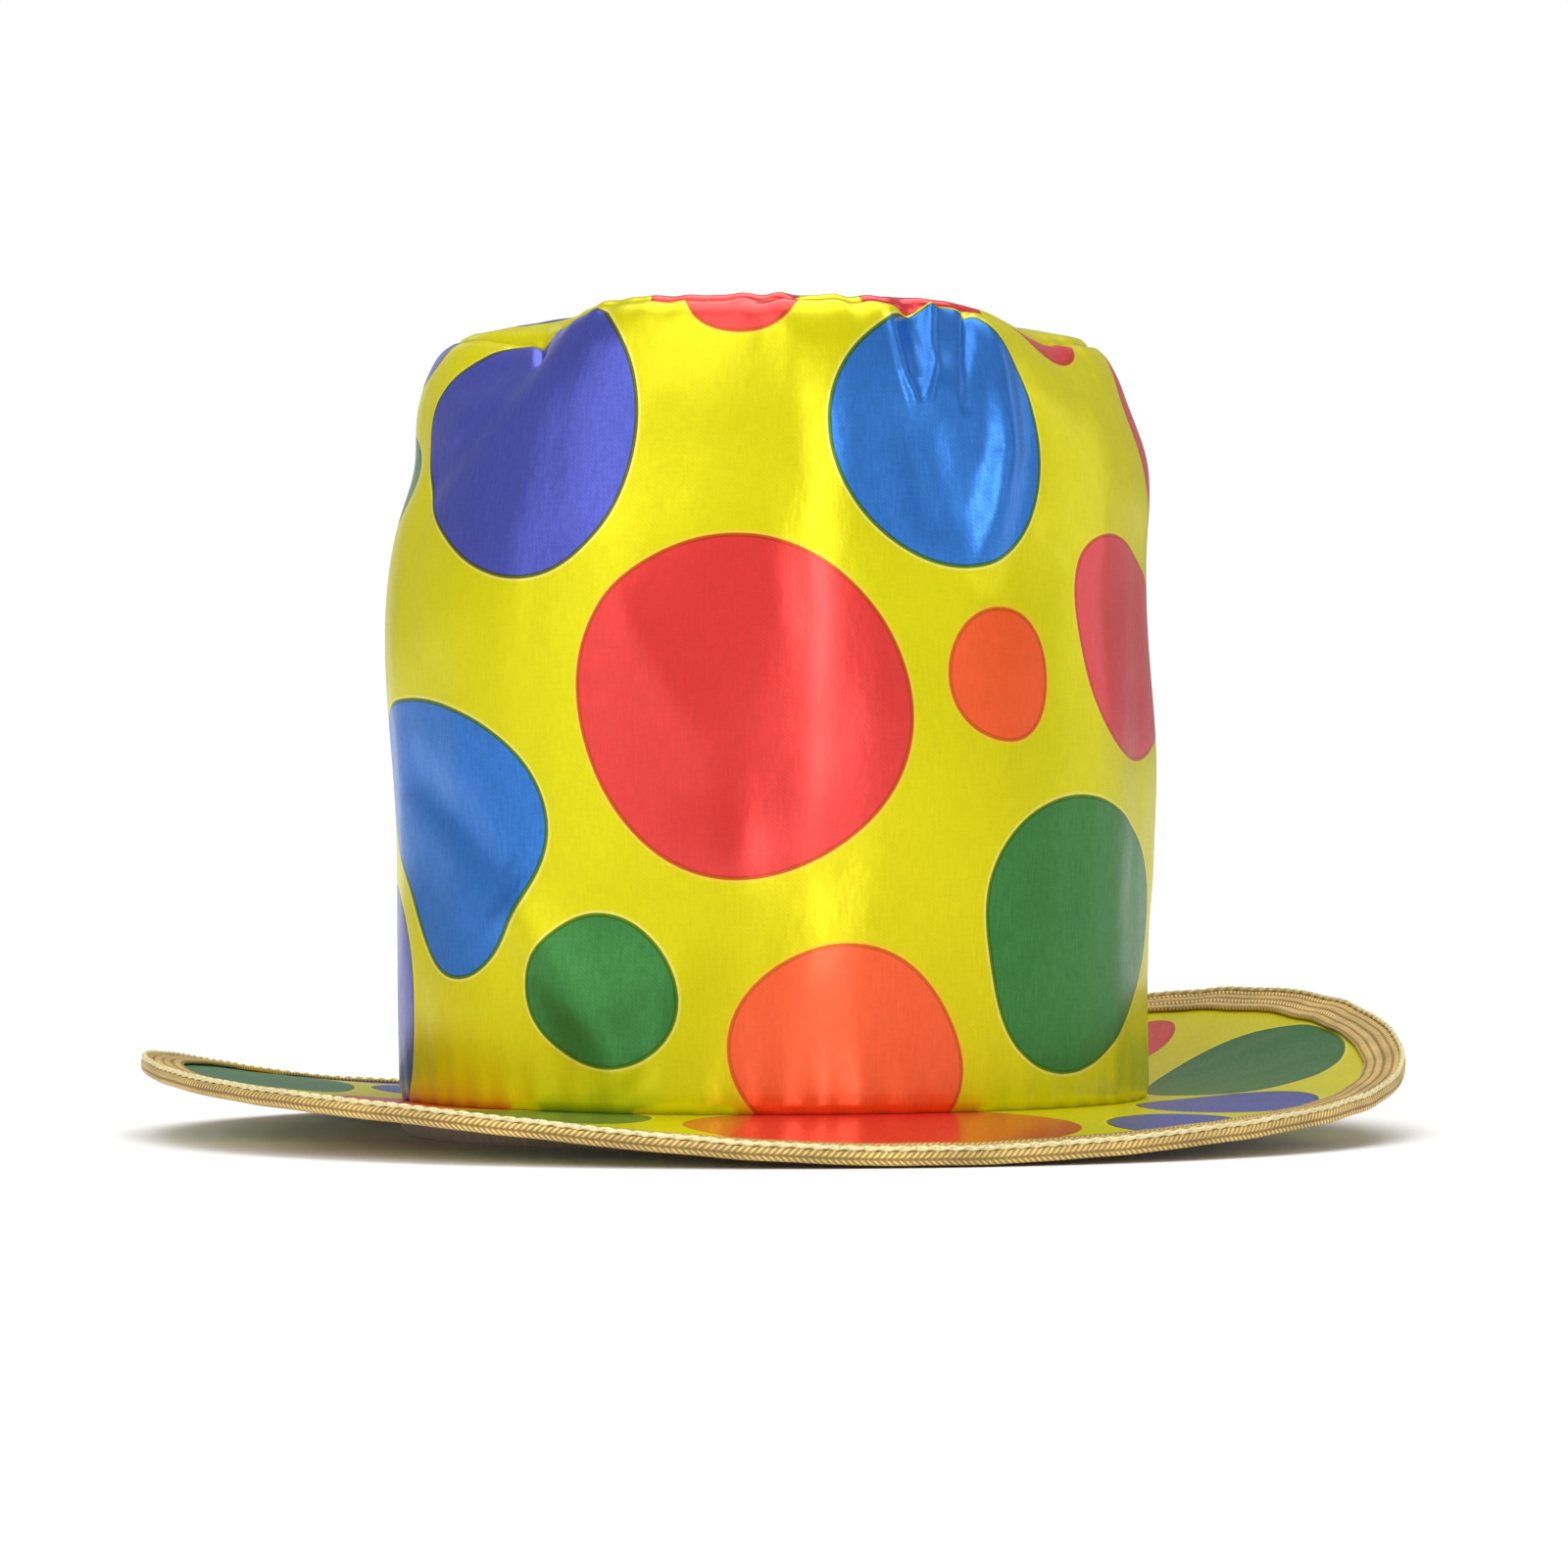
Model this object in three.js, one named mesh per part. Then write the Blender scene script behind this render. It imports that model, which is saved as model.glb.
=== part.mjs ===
// A soft clown hat of dotted yellow satin: a tall dented crown, a wavy brim bound in gold braid
// and a rolled cloth band round the head opening. Millimetres, +Z up, front toward -Y.
// The hat stands on its head band, with the floor at z = 0 and the crown's axis on the Z axis.
import * as THREE from 'three';

const HEAD_OPENING = 180; // free width inside the head band
const ROLL = 8; // width and height of the rolled head band
const ROLL_BULGE = 4.35; // radius of the roll before it is pressed flat above and below
const CROWN_CLOTH = 1.4; // satin on its padding
const BRIM_CLOTH = 1.2; // satin on its stiffening
const BRIM_SPAN = 332; // across the brim, over the braid
const BRAID_LEAF = 1; // thickness of the folded braid
const BRAID_DEPTH = 11; // how far the braid reaches in from the outer edge
const SEAM_GAP = 0.3; // between sewn pieces
const TURN_STEPS = 72; // facets round the hat

const ROLL_RADIUS = (HEAD_OPENING + ROLL) / 2;
const BRIM_SEAT = ROLL + SEAM_GAP + BRIM_CLOTH / 2; // the brim cloth's middle at its root
const CROWN_SEAT = BRIM_SEAT + BRIM_CLOTH / 2 + SEAM_GAP; // the crown's lower edge
const BRIM_OUTER = BRIM_SPAN / 2 - BRAID_LEAF - SEAM_GAP;
const BRIM_INNER = ROLL_RADIUS - 1;

// The crown's outline, from its lower edge up the side, over the rolled rim and in to the axis.
const CROWN_OUTLINE = [
  { height: 0, radius: 98.6 },
  { height: 53, radius: 99.2 },
  { height: 97, radius: 100.2 },
  { height: 130, radius: 99.8 },
  { height: 153, radius: 98.2 },
  { height: 176, radius: 95.4 },
  { height: 188, radius: 93.2 },
  { height: 196, radius: 91 },
  { height: 202, radius: 87.6 },
  { height: 204.8, radius: 83 },
  { height: 205.4, radius: 77 },
  { height: 202.6, radius: 45 },
  { height: 200.6, radius: 18 },
  { height: 200.2, radius: 0 },
];
const RIM_RADIUS = 87.6;
const CROWN_ROOT = CROWN_OUTLINE[0].radius;
const SIDE_STEPS = 14;
const TIP_STEPS = 5;
const ROW_CROWDING = 1.5; // how much closer the rows lie toward the seam
const SEAM_RADIUS = 84; // where the side's rolled edge meets the tip

// Dents and bulges of the soft crown. A bearing is in degrees from the front toward +X, and
// along is the way up the side and on over the rim. Spread and reach are how wide and how tall
// the dent is, inward is how deep, and drop is how far it lowers the cloth.
const CROWN_DENTS = [
  { bearing: -92, along: 202, spread: 42, reach: 26, inward: 0, drop: 7 },
  { bearing: 92, along: 202, spread: 42, reach: 26, inward: 0, drop: 7.5 },
  { bearing: -51, along: 202, spread: 14, reach: 18, inward: 6, drop: 7 },
  { bearing: 57, along: 204, spread: 14, reach: 20, inward: 4, drop: 4.5 },
  { bearing: 27, along: 196, spread: 6, reach: 9, inward: 4, drop: 0.5 },
  { bearing: 158, along: 202, spread: 18, reach: 20, inward: 4, drop: 5 },
  { bearing: -138, along: 204, spread: 16, reach: 20, inward: 4, drop: 5 },
  { bearing: -90, along: 126, spread: 60, reach: 30, inward: -2.3, drop: 0 },
  { bearing: 90, along: 128, spread: 60, reach: 26, inward: 2, drop: 0 },
  { bearing: -90, along: 166, spread: 55, reach: 14, inward: 2.3, drop: 0 },
  { bearing: 90, along: 166, spread: 55, reach: 15, inward: -2.1, drop: 0 },
];

// The brim's edge rises and falls round the hat: each wave has so many crests in a turn, a
// height above and below the mean, and the bearing of its first crest.
const EDGE_LIFT = 5.5;
const EDGE_WAVES = [
  { crests: 1, rise: 6.9, first: 146.5 },
  { crests: 2, rise: 9.6, first: 117.5 },
  { crests: 3, rise: 2.2, first: 18 },
  { crests: 5, rise: 1, first: 44.5 },
];
const BRIM_SWEEP = 1.25; // how late the rise sets in on the way out
const BRIM_STEPS = [0, 0.08, 0.25, 0.45, 0.65, 0.86, 1]; // rows across the brim

const { degToRad, radToDeg, clamp } = THREE.MathUtils;

// Height of the brim's middle above its root.
function brimRise(radius, bearing) {
  const out = Math.max(0, (radius - CROWN_ROOT) / (BRIM_OUTER - CROWN_ROOT));
  let edge = EDGE_LIFT;
  for (const wave of EDGE_WAVES) {
    edge += wave.rise * Math.cos(degToRad(wave.crests * (bearing - wave.first)));
  }
  return edge * out ** BRIM_SWEEP;
}

// Moves a point of the round crown to where the soft cloth lies.
function dentCrown(point, radius, bearing) {
  const along = point.z + Math.max(0, RIM_RADIUS - radius);
  let inward = 0;
  let drop = 0;
  for (const dent of CROWN_DENTS) {
    const turn = THREE.MathUtils.euclideanModulo(bearing - dent.bearing + 180, 360) - 180;
    const weight = Math.exp(-((turn / dent.spread) ** 2) - ((along - dent.along) / dent.reach) ** 2);
    inward += dent.inward * weight;
    drop += dent.drop * weight;
  }
  const shrink = radius > 0 ? (radius - inward) / radius : 1;
  point.set(point.x * shrink, point.y * shrink, point.z - drop);
}

// Lifts a point of the flat brim to the brim's wave.
function waveBrim(point, radius, bearing) {
  point.z += brimRise(radius, bearing);
}

// Turns a closed section about the Z axis and lays each point of it where the cloth lies.
function turnCloth(name, section, lay, material) {
  const geometry = new THREE.LatheGeometry(section, TURN_STEPS);
  geometry.rotateX(Math.PI / 2);
  const position = geometry.getAttribute('position');
  const point = new THREE.Vector3();
  for (let index = 0; index < position.count; index += 1) {
    point.fromBufferAttribute(position, index);
    const bearing = radToDeg(Math.atan2(point.x, -point.y));
    lay(point, Math.hypot(point.x, point.y), bearing);
    position.setXYZ(index, point.x, point.y, point.z);
  }
  geometry.computeVertexNormals();
  const mesh = new THREE.Mesh(geometry, material);
  mesh.name = name;
  return mesh;
}

// Points at places along the crown's outline, sunk below its outer face.
function crownRun(curve, places, depth) {
  return places.map((place) => {
    const point = curve.getPointAt(place);
    const tangent = curve.getTangentAt(place);
    const radius = place < 1 ? point.x - depth * tangent.y : 0;
    return new THREE.Vector2(radius, point.y + depth * tangent.x);
  });
}

// Places along the outline from a far end to the seam, closer together toward the seam.
function placesToSeam(far, seam, steps) {
  const places = [];
  for (let step = 0; step <= steps; step += 1) {
    places.push(THREE.MathUtils.lerp(seam, far, (1 - step / steps) ** ROW_CROWDING));
  }
  return places;
}

// The place on the outline, from 0 to 1, where the roof's seam has a given radius.
function seamPlace(curve, radius) {
  let low = 0.6;
  let high = 1;
  for (let round = 0; round < 30; round += 1) {
    const middle = (low + high) / 2;
    if (curve.getPointAt(middle).x > radius) {
      low = middle;
    } else {
      high = middle;
    }
  }
  return low;
}

function makeCrown() {
  const rows = CROWN_OUTLINE.map((row) => new THREE.Vector3(row.radius, row.height, 0));
  const curve = new THREE.CatmullRomCurve3(rows);
  const seam = seamPlace(curve, SEAM_RADIUS);
  const halfGap = SEAM_GAP / 2 / curve.getLength();

  const sidePlaces = placesToSeam(0, seam - halfGap, SIDE_STEPS);
  const sideOuter = crownRun(curve, sidePlaces, 0);
  const sideInner = crownRun(curve, sidePlaces, CROWN_CLOTH).reverse();
  const sideSection = [...sideOuter, ...sideInner, sideOuter[0]];
  const satinSide = new THREE.MeshStandardMaterial({ color: 0xe8de0a, roughness: 0.42, metalness: 0 });

  const tipPlaces = placesToSeam(1, seam + halfGap, TIP_STEPS);
  const tipInner = crownRun(curve, tipPlaces, CROWN_CLOTH);
  const tipOuter = crownRun(curve, tipPlaces, 0).reverse();
  const satinTip = new THREE.MeshStandardMaterial({ color: 0xe8de0a, roughness: 0.42, metalness: 0 });

  const crown = new THREE.Group();
  crown.add(turnCloth('crown_side', sideSection, dentCrown, satinSide));
  crown.add(turnCloth('crown_tip', [...tipInner, ...tipOuter], dentCrown, satinTip));
  crown.position.z = CROWN_SEAT;
  return crown;
}

function makeBrim() {
  const half = BRIM_CLOTH / 2;
  const radii = BRIM_STEPS.map((step) => THREE.MathUtils.lerp(BRIM_INNER, BRIM_OUTER, step));
  const under = radii.map((radius) => new THREE.Vector2(radius, -half));
  const over = radii.map((radius) => new THREE.Vector2(radius, half)).reverse();
  const satin = new THREE.MeshStandardMaterial({ color: 0xe8de0a, roughness: 0.42, metalness: 0 });

  const grip = half + SEAM_GAP; // the braid's inner face from the brim's middle
  const back = grip + BRAID_LEAF; // the braid's outer face
  const leaf = BRIM_SPAN / 2 - BRAID_DEPTH; // inner edge of the two leaves
  const fold = BRIM_OUTER + SEAM_GAP; // inside of the fold
  const outer = BRIM_SPAN / 2;
  const braidSection = [
    new THREE.Vector2(leaf, -back),
    new THREE.Vector2(fold, -back),
    new THREE.Vector2(outer, -grip / 2),
    new THREE.Vector2(outer, grip / 2),
    new THREE.Vector2(fold, back),
    new THREE.Vector2(leaf, back),
    new THREE.Vector2(leaf, grip),
    new THREE.Vector2(fold, grip),
    new THREE.Vector2(fold, -grip),
    new THREE.Vector2(leaf, -grip),
    new THREE.Vector2(leaf, -back),
  ];
  const gold = new THREE.MeshStandardMaterial({ color: 0xbe9858, roughness: 0.45, metalness: 0.4 });

  const brim = new THREE.Group();
  brim.add(turnCloth('brim', [...under, ...over, under[0]], waveBrim, satin));
  brim.add(turnCloth('brim_binding', braidSection, waveBrim, gold));
  brim.position.z = BRIM_SEAT;
  return brim;
}

function makeHeadBand() {
  const flat = radToDeg(Math.asin(ROLL / 2 / ROLL_BULGE));
  const side = [-flat, -35, 0, 35, flat];
  const angles = [...side, ...side.map((angle) => angle + 180), side[0]];
  const section = angles.map((angle) => {
    const lift = clamp(ROLL_BULGE * Math.sin(degToRad(angle)), -ROLL / 2, ROLL / 2);
    const reach = clamp(ROLL_BULGE * Math.cos(degToRad(angle)), -ROLL / 2, ROLL / 2);
    return new THREE.Vector2(ROLL_RADIUS + reach, lift);
  });
  const cloth = new THREE.MeshStandardMaterial({ color: 0xc0b09c, roughness: 0.85, metalness: 0 });
  const band = turnCloth('head_band', section, () => {}, cloth);
  band.position.z = ROLL / 2;
  return band;
}

const hat = new THREE.Group();
hat.add(makeCrown(), makeBrim(), makeHeadBand());

export default hat;
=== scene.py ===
"""Dresses a soft clown hat: a dotted satin crown and brim, gold braid and a rolled head band.

Lengths in the tables are millimetres in the hat's own frame: the floor at z = 0, +Z up along the
crown's axis and the front toward -Y. A bearing is in degrees from the front toward +X.
"""

import logging
from dataclasses import dataclass
from enum import Enum
from typing import Any

import bpy
import numpy as np
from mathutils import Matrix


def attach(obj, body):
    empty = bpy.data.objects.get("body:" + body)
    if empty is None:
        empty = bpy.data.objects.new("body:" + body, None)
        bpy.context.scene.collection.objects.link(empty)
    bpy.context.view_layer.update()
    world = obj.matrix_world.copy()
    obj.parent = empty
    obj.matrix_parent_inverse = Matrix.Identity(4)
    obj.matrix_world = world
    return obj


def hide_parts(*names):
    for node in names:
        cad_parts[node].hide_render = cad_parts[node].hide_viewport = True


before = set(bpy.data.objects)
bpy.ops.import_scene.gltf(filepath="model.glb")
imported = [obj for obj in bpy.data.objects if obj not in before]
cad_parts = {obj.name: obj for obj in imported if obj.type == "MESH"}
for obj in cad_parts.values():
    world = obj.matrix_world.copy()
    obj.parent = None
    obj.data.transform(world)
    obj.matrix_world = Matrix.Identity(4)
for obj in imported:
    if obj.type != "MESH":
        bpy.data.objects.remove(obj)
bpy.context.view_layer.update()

LOG = logging.getLogger("clown_hat")
MM = 0.001
UNROLL = 100.0  # radius at which the crown's side is laid flat for its print
TURN = 2 * np.pi * UNROLL  # length of that flat side, once round
MELT = 44.0  # how near a dot and its foot run together
WOBBLE = 0.012  # how far a dot's outline strays, as a share of its size
FAR = 1e3  # farther than any way on a chart
SOCKET_KINDS = {float: "Float", tuple: "Color", type(None): "Vector"}  # by the default's type

Array = np.ndarray
Colour = tuple[float, float, float]
Vector = tuple[float, float, float]
Range = tuple[float, float]
Line = tuple[tuple[float, float], ...]
Material = bpy.types.Material
Socket = bpy.types.NodeSocket


class Ink(Enum):
    """Printing inks, as linear red, green and blue."""

    RED = (0.69, 0.032, 0.026)
    ROSE = (0.67, 0.036, 0.045)
    ORANGE = (0.86, 0.095, 0.010)
    BLUE = (0.038, 0.185, 0.59)
    VIOLET = (0.080, 0.098, 0.46)
    GREEN = (0.048, 0.205, 0.048)


class Face(Enum):
    """Which finish a row of faces takes, as a material number."""

    OUT = 0
    IN = 1


@dataclass(frozen=True)
class Dot:
    """A printed dot: its ink, middle, half sizes and lean, and how far it is pointed which way.

    A dot with a foot runs out into a smaller round, placed from its middle and given a radius.
    """

    ink: Ink
    across: float
    up: float
    wide: float
    tall: float
    lean: float = 0.0
    point: float = 0.0
    toward: float = -90.0
    foot: Vector | None = None


@dataclass(frozen=True)
class Dent:
    """A soft dent of the crown: where it is, how wide and tall, how deep and how far it sinks."""

    bearing: float
    along: float
    spread: float
    reach: float
    inward: float
    drop: float


@dataclass(frozen=True)
class Fold:
    """A ridge, or a valley where its height is below zero, along a line of places on the chart.

    It may fade by a share toward the line's end, or taper to nothing at both ends.
    """

    height: float
    width: float
    path: Line
    power: float = 2.0
    fade: float = 0.0
    taper: float = 0.0


@dataclass(frozen=True)
class Wave:
    """One wave of the brim's edge: crests in a turn, rise and the bearing of the first crest."""

    crests: int
    rise: float
    first: float


CROWN_OUTLINE = (  # height, radius
    (0.0, 98.6), (53.0, 99.2), (97.0, 100.2), (130.0, 99.8), (153.0, 98.2), (176.0, 95.4),
    (188.0, 93.2), (196.0, 91.0), (202.0, 87.6), (204.8, 83.0), (205.4, 77.0), (202.6, 45.0),
    (200.6, 18.0), (200.2, 0.0),
)

CROWN_DENTS = (
    Dent(-92, 202, 42, 26, 0, 7),
    Dent(92, 202, 42, 26, 0, 7.5),
    Dent(-51, 202, 14, 18, 6, 7),
    Dent(57, 204, 14, 20, 4, 4.5),
    Dent(27, 196, 6, 9, 4, 0.5),
    Dent(158, 202, 18, 20, 4, 5),
    Dent(-138, 204, 16, 20, 4, 5),
    Dent(-90, 126, 60, 30, -2.3, 0),
    Dent(90, 128, 60, 26, 2, 0),
    Dent(-90, 166, 55, 14, 2.3, 0),
    Dent(90, 166, 55, 15, -2.1, 0),
)

CROWN_FOLDS = (  # places across and up the unrolled side
    Fold(1.2, 1.5, ((34, 199), (36, 186), (39, 177), (41.5, 178), (46, 189), (49, 206))),
    Fold(-3.2, 4.0, ((42, 208), (40.5, 186)), fade=0.5),
    Fold(-2.0, 1.6, ((61, 206), (56, 190), (53, 177)), power=1.4, fade=0.6),
    Fold(-2.9, 11.0, ((40, 168), (44, 152))),
    Fold(3.1, 5.0, ((67, 202), (65, 182), (64, 166), (61, 152), (55, 132)), taper=0.5),
    Fold(1.1, 11.0, ((76, 180), (74, 150)), fade=0.3),
    Fold(-1.6, 2.4, ((-86, 209), (-79, 197)), power=1.4),
    Fold(-1.5, 6.0, ((-79, 199), (-88, 178), (-112, 160)), fade=0.3),
    Fold(0.9, 8.0, ((-46, 140), (-31, 113), (-21, 99), (-13, 82), (-10, 56))),
    Fold(0.6, 16.0, ((9, 190), (12, 134), (15, 96), (17, 36))),
    Fold(-0.45, 5.0, ((-1, 192), (2, 150), (7, 122)), fade=0.5),
    Fold(1.4, 14.0, ((-13, 62), (-19, 34), (-22, 6)), fade=0.4),
    Fold(-1.2, 7.0, ((-122, 88), (-93, 74), (-74, 58)), taper=0.5),
    Fold(2.3, 8.0, ((-74, 54), (-64, 42), (-46, 22), (-36, 8)), taper=0.35),
    Fold(0.4, 7.0, ((3, 146), (4, 124))),
    Fold(0.4, 8.0, ((25, 124), (27, 102))),
    Fold(-0.5, 11.0, ((14, 92), (17, 62))),
    Fold(2.4, 22.0, ((-114, 30), (-102, 26))),
    Fold(1.9, 13.0, ((-37, 0), (-27, 3))),
    Fold(-1.7, 12.0, ((-38, 47), (-29, 45))),
    Fold(-0.5, 4.0, ((78, 146), (88, 141), (98, 143)), fade=0.4),
    Fold(-1.1, 1.7, ((8, 212), (1, 206), (-9, 203)), power=1.4, fade=0.6),
    Fold(0.9, 12.0, ((-122, 50), (-130, 150))),
    Fold(-0.9, 12.0, ((128, 24), (122, 104))),
    Fold(0.8, 10.0, ((150, 60), (142, 150))),
    Fold(1.3, 14.0, ((200, 34), (188, 176))),
    Fold(-1.0, 12.0, ((240, 20), (252, 124))),
    Fold(1.1, 14.0, ((290, 50), (300, 192))),
    Fold(1.2, 13.0, ((-205, 172), (-190, 58))),
    Fold(-1.0, 12.0, ((-250, 192), (-240, 78))),
    Fold(0.9, 12.0, ((-288, 152), (-302, 28))),
    Fold(-1.6, 2.6, ((268, 208), (262, 188), (270, 172)), power=1.4, fade=0.5),
    Fold(-1.5, 2.6, ((-246, 208), (-238, 186)), power=1.4, fade=0.5),
    Fold(1.2, 4.0, ((255, 206), (250, 182)), fade=0.7),
)

SIDE_DOTS = (  # across and up the unrolled side
    Dot(Ink.VIOLET, -77, 173, 42.5, 37, -15, 0.05, -50),
    Dot(Ink.BLUE, 46.5, 170.5, 30.5, 34, 3, 0.05, 176),
    Dot(Ink.RED, -8, 101.5, 43.5, 41.5, -40, 0.012, 49),
    Dot(Ink.ORANGE, 61.5, 109.5, 15.3, 16.7, 19, 0.02, -71),
    Dot(Ink.ROSE, 125, 117, 26, 39, 71, 0.1, 52),
    Dot(Ink.GREEN, 96, 45.5, 42, 33.5, 12, 0.09, 115),
    Dot(Ink.BLUE, -105, 80, 44.5, 23, -11.5, foot=(12.5, -34.5, 9)),
    Dot(Ink.GREEN, -45.3, 30, 21.5, 18.5, -15, 0.03, 90),
    Dot(Ink.ORANGE, 19.5, 15.5, 30.5, 25.5, -13, 0.03, 98),
    Dot(Ink.VIOLET, -145, 25, 29.5, 31, 0, 0.03, 40),
    Dot(Ink.GREEN, -151, 163, 22, 14, -8, 0.04, 160),
    Dot(Ink.VIOLET, -146, 206, 18, 14),
    Dot(Ink.RED, -9, 209, 17, 14),
    Dot(Ink.RED, 100, 213, 22, 15),
    Dot(Ink.RED, 163, 176, 30, 34, 10, 0.05, 20),
    Dot(Ink.RED, -307, 52, 34, 32, 20, 0.03, 80),
    Dot(Ink.GREEN, 263, 33, 14, 13),
    Dot(Ink.ROSE, 217, 28, 20, 22, 15, 0.06, -70),
    Dot(Ink.VIOLET, 179, 66, 24, 27, -20, 0.08, -40),
    Dot(Ink.ORANGE, 185, 125, 14, 13, 10, 0.03, 60),
    Dot(Ink.BLUE, 232, 98, 32, 38, -15, 0.1, -100),
    Dot(Ink.GREEN, 228, 178, 26, 24, 0, 0.05, 30),
    Dot(Ink.ORANGE, 290, 128, 26, 23, 12, 0.04, 130),
    Dot(Ink.ROSE, 288, 188, 24, 20, -8, 0.05, -20),
    Dot(Ink.VIOLET, -262, 120, 36, 30, 20, 0.09, -120),
    Dot(Ink.BLUE, -270, 188, 22, 19, 0, 0.04, 70),
    Dot(Ink.GREEN, -234, 61, 21, 18, -10, 0.06, 150),
    Dot(Ink.ORANGE, -199, 96, 18, 16, 0, 0.03, 10),
    Dot(Ink.RED, -222, 168, 18, 20, 15, 0.05, -60),
)

TIP_DOTS = (  # right and back in plan
    Dot(Ink.RED, -12, -78, 18, 14),
    Dot(Ink.ROSE, 38, -72, 17, 13, 25),
    Dot(Ink.BLUE, 40, -12, 29, 25, 20),
    Dot(Ink.VIOLET, -40, -24, 28, 24, -15),
    Dot(Ink.GREEN, -20, 38, 26, 23, 10),
    Dot(Ink.ORANGE, 30, 46, 19, 16, -20),
    Dot(Ink.RED, -70, 26, 14, 20, 10),
    Dot(Ink.VIOLET, 74, 32, 13, 16),
    Dot(Ink.ORANGE, 1, -46, 13, 11),
)

BRIM_DOTS = (  # right and back in plan
    Dot(Ink.ROSE, -119, -103, 30, 20, 127),
    Dot(Ink.GREEN, -55, -106, 28, 23, 124),
    Dot(Ink.RED, 27, -118, 49, 35, 15),
    Dot(Ink.VIOLET, 99, -103, 20, 16, 87),
    Dot(Ink.VIOLET, 116, -53, 28, 23, 93),
    Dot(Ink.GREEN, 126, 19, 42, 26, 84),
    Dot(Ink.RED, -88, -48, 35, 24, 110),
    Dot(Ink.GREEN, -135, 10, 49, 23, 89),
    Dot(Ink.VIOLET, -96, 33, 20, 12, 93),
    Dot(Ink.VIOLET, -110, 86, 31, 24, 73),
    Dot(Ink.GREEN, -59, 130, 23, 18, 13),
    Dot(Ink.RED, 3, 126, 38, 34, -8),
    Dot(Ink.RED, 95, 86, 22, 15, 62),
    Dot(Ink.BLUE, 62, 110, 15, 12, 120),
)

EDGE_LIFT = 5.5
EDGE_WAVES = (Wave(1, 6.9, 146.5), Wave(2, 9.6, 117.5), Wave(3, 2.2, 18), Wave(5, 1.0, 44.5))


def wrapped(way: Array, turn: float) -> Array:
    """A way round a full turn, taken the shorter way."""
    return (way + turn / 2) % turn - turn / 2


def bell(value: Array) -> Array:
    """A bell: 1 at zero, falling off as the square grows."""
    return np.exp(-(value**2))


def print_dots(
    dots: tuple[Dot, ...], across: Array, up: Array, turn: float | None = None
) -> tuple[Array, Array]:
    """Lays the printed dots on a chart of the cloth.

    Each dot is an ellipse drawn out to three soft points. For x and y over the half sizes, q is
    the root of their squares' sum, and the outline's q is 1 and a cosine of three times the angle
    past its point, with a slight fourfold wobble. The way to the outline is the rest of q times q
    over the length of q's slope. A foot is a circle that melts into the dot where both are near.
    The nearest dot gives the distance and the ink.

    Args:
        dots: the dots of this panel.
        across: places across the chart, in millimetres.
        up: places up the chart, in millimetres.
        turn: length of a full turn where the chart closes round, else None.

    Returns:
        The distance to the nearest outline, below zero inside a dot, and that dot's colour.
    """
    edge = np.full(across.shape, FAR)
    ink = np.zeros(across.shape + (3,))
    for dot in dots:
        right, rise = across - dot.across, up - dot.up
        if turn is not None:
            right = wrapped(right, turn)
        lean = np.radians(dot.lean)
        x = right * np.cos(lean) + rise * np.sin(lean)
        y = rise * np.cos(lean) - right * np.sin(lean)
        q = np.sqrt((x / dot.wide) ** 2 + (y / dot.tall) ** 2 + 1e-6)
        angle = np.arctan2(y / dot.tall, x / dot.wide)
        outline = 1 + dot.point * np.cos(3 * (angle - np.radians(dot.toward)))
        outline = outline + WOBBLE * np.cos(4 * angle + dot.across)
        slope = np.sqrt((x / dot.wide**2) ** 2 + (y / dot.tall**2) ** 2 + 1e-12)
        way = (q - outline) * q / slope
        if dot.foot is not None:
            foot_right, foot_rise, size = dot.foot
            other = np.hypot(right - foot_right, rise - foot_rise) - size
            share = np.clip(0.5 + (other - way) / (2 * MELT), 0, 1)
            way = other + (way - other) * share - MELT * share * (1 - share)
        nearer = way < edge
        edge = np.where(nearer, way, edge)
        ink[nearer] = dot.ink.value
    return edge, ink


def way_to_line(path: Line, across: Array, up: Array) -> tuple[Array, Array]:
    """Measures how far places on the crown's chart lie from a line of straight stretches.

    Each stretch is measured at its nearest point, and the nearest stretch counts.

    Args:
        path: the line's corners, across and up.
        across: places across the chart, in millimetres.
        up: places up the chart, in millimetres.

    Returns:
        The distance, and the share of the line's stretches passed on the way to the nearest point.
    """
    away = np.full(np.broadcast_shapes(across.shape, up.shape), FAR)
    share = np.zeros(away.shape)
    stretches = len(path) - 1
    for number, ((x0, y0), (x1, y1)) in enumerate(zip(path, path[1:])):
        x, y = wrapped(across - x0, TURN), up - y0
        dx, dy = x1 - x0, y1 - y0
        t = np.clip((x * dx + y * dy) / (dx * dx + dy * dy), 0, 1)
        way = np.hypot(x - t * dx, y - t * dy)
        share = np.where(way < away, (number + t) / stretches, share)
        away = np.minimum(way, away)
    return away, share


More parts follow.
